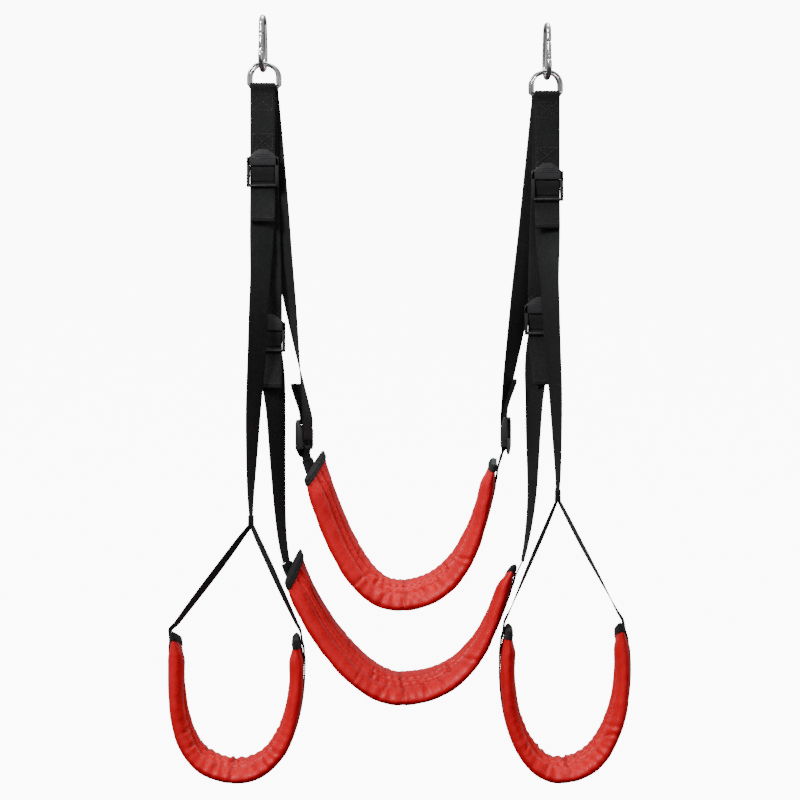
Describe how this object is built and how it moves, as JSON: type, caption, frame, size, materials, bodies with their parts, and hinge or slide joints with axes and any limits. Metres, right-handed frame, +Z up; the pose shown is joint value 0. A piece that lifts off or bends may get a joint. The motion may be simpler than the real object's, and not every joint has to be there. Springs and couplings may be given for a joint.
{
  "type": "strap suspension swing",
  "caption": "Hanging padded strap swing: two snap hooks, D-rings and adjustable webbing carry a padded back band, a padded seat band and a padded loop for each leg.",
  "frame": {"origin": "middle of the line that joins the bearing points of the two hook eyes, on which the swing hangs", "axes": "+X from the left hook to the right hook as seen from the front, +Y to the rear, +Z up"},
  "size_m": [0.6965, 0.1391, 1.1601],
  "materials": {
    "webbing": "woven matt black",
    "pad_fabric": "smooth red woven nylon",
    "binding": "folded black tape",
    "foam": "soft open foam",
    "chrome_steel": "bright plated",
    "spring_steel": "drawn wire",
    "buckle_plastic": "satin moulded"
  },
  "bodies": {
    "hooks": {"left_hook": "chrome_steel", "left_gate_pin": "spring_steel", "right_hook": "chrome_steel", "right_gate_pin": "spring_steel"},
    "left_gate_body": {"left_gate": "chrome_steel", "left_gate_spring": "spring_steel"},
    "right_gate_body": {"right_gate": "chrome_steel", "right_gate_spring": "spring_steel"},
    "hanger": {"left_leg_ring": "chrome_steel", "left_seat_ring": "chrome_steel", "left_back_ring": "chrome_steel", "right_leg_ring": "chrome_steel", "right_seat_ring": "chrome_steel", "right_back_ring": "chrome_steel", "seat_left_upper_strap": "webbing", "seat_right_upper_strap": "webbing", "seat_left_buckle": "buckle_plastic", "seat_right_buckle": "buckle_plastic"},
    "seat_band": {"seat_left_strap": "webbing", "seat_right_strap": "webbing", "seat_carrier": "webbing", "seat_pad_cover": "pad_fabric", "seat_pad_foam": "foam", "seat_left_binding": "binding", "seat_right_binding": "binding"},
    "seat_tails": {"seat_left_tail": "webbing", "seat_right_tail": "webbing"},
    "back_straps": {"back_left_strap": "webbing", "back_right_strap": "webbing"},
    "back_band": {"back_left_buckle": "buckle_plastic", "back_right_buckle": "buckle_plastic", "back_left_link": "webbing", "back_right_link": "webbing", "back_carrier": "webbing", "back_pad_cover": "pad_fabric", "back_pad_foam": "foam", "back_left_binding": "binding", "back_right_binding": "binding"},
    "back_tails": {"back_left_tail": "webbing", "back_right_tail": "webbing"},
    "left_leg_hanger": {"left_leg_upper_strap": "webbing", "left_leg_buckle": "buckle_plastic"},
    "left_leg_line": {"left_leg_strap": "webbing"},
    "left_leg_free_end": {"left_leg_tail": "webbing"},
    "left_leg_sling": {"left_leg_junction": "webbing", "left_leg_loop_webbing": "webbing", "left_leg_pad_cover": "pad_fabric", "left_leg_pad_foam": "foam", "left_leg_left_binding": "binding", "left_leg_right_binding": "binding"},
    "right_leg_hanger": {"right_leg_upper_strap": "webbing", "right_leg_buckle": "buckle_plastic"},
    "right_leg_line": {"right_leg_strap": "webbing"},
    "right_leg_free_end": {"right_leg_tail": "webbing"},
    "right_leg_sling": {"right_leg_junction": "webbing", "right_leg_loop_webbing": "webbing", "right_leg_pad_cover": "pad_fabric", "right_leg_pad_foam": "foam", "right_leg_left_binding": "binding", "right_leg_right_binding": "binding"}
  },
  "joints": [
    {"name": "left_gate_hinge", "type": "hinge", "parent": "hooks", "child": "left_gate_body", "pos_m": [-0.21848, -0.01764, -0.0415], "axis": [-0.9903, 0.1392, 0], "range_deg": [0, 20], "stiffness_Nm_per_rad": 0.3, "springref_deg": -17.19},
    {"name": "right_gate_hinge", "type": "hinge", "parent": "hooks", "child": "right_gate_body", "pos_m": [0.21848, -0.01764, -0.0535], "axis": [-0.9903, -0.1392, 0], "range_deg": [0, 20], "stiffness_Nm_per_rad": 0.3, "springref_deg": -17.19},
    {"name": "swing", "type": "hinge", "parent": "hooks", "child": "hanger", "pos_m": [0, 0, -0.057], "axis": [0.9996, 0, -0.0278], "range_deg": [-40, 40]},
    {"name": "seat_height", "type": "slide", "parent": "hanger", "child": "seat_band", "axis": [0, 0, 1], "range_m": [0, 0.07], "deforming": ["seat_left_strap", "seat_right_strap"]},
    {"name": "seat_tail_run", "type": "slide", "parent": "hanger", "child": "seat_tails", "axis": [0, 0, 1], "range_m": [-0.07, 0], "deforming": ["seat_left_tail", "seat_right_tail"]},
    {"name": "back_lean", "type": "hinge", "parent": "hanger", "child": "back_straps", "pos_m": [0, 0.0077, -0.10033], "axis": [0.9996, 0, -0.0283], "range_deg": [0, 60]},
    {"name": "back_height", "type": "slide", "parent": "back_straps", "child": "back_band", "axis": [0, 0, 1], "range_m": [-0.02, 0.25], "deforming": ["back_left_strap", "back_right_strap"]},
    {"name": "back_tail_run", "type": "slide", "parent": "back_band", "child": "back_tails", "axis": [0, 0, 1], "range_m": [-0.02, 0.25], "deforming": ["back_left_tail", "back_right_tail"]},
    {"name": "left_leg_lift", "type": "hinge", "parent": "hanger", "child": "left_leg_hanger", "pos_m": [-0.216, -0.0077, -0.09433], "axis": [-1, 0, 0], "range_deg": [0, 90]},
    {"name": "left_leg_height", "type": "slide", "parent": "left_leg_hanger", "child": "left_leg_line", "axis": [0, 0, 1], "range_m": [-0.045, 0.01], "deforming": ["left_leg_strap"]},
    {"name": "left_leg_tail_run", "type": "slide", "parent": "left_leg_hanger", "child": "left_leg_free_end", "axis": [0, 0, 1], "range_m": [-0.01, 0.045], "deforming": ["left_leg_tail"]},
    {"name": "left_leg_spread", "type": "hinge", "parent": "left_leg_line", "child": "left_leg_sling", "pos_m": [-0.2325, -0.036, -0.745], "axis": [0, 1, 0], "range_deg": [0, 45]},
    {"name": "right_leg_lift", "type": "hinge", "parent": "hanger", "child": "right_leg_hanger", "pos_m": [0.216, -0.0077, -0.10633], "axis": [-1, 0, 0], "range_deg": [0, 90]},
    {"name": "right_leg_height", "type": "slide", "parent": "right_leg_hanger", "child": "right_leg_line", "axis": [0, 0, 1], "range_m": [-0.045, 0.01], "deforming": ["right_leg_strap"]},
    {"name": "right_leg_tail_run", "type": "slide", "parent": "right_leg_hanger", "child": "right_leg_free_end", "axis": [0, 0, 1], "range_m": [-0.01, 0.045], "deforming": ["right_leg_tail"]},
    {"name": "right_leg_spread", "type": "hinge", "parent": "right_leg_line", "child": "right_leg_sling", "pos_m": [0.2305, -0.036, -0.707], "axis": [0, -1, 0], "range_deg": [0, 45]}
  ],
  "couplings": [
    {"joint": "seat_tail_run", "follows": "seat_height", "ratio": -1},
    {"joint": "back_tail_run", "follows": "back_height", "ratio": 1},
    {"joint": "left_leg_tail_run", "follows": "left_leg_height", "ratio": -1},
    {"joint": "right_leg_tail_run", "follows": "right_leg_height", "ratio": -1}
  ]
}
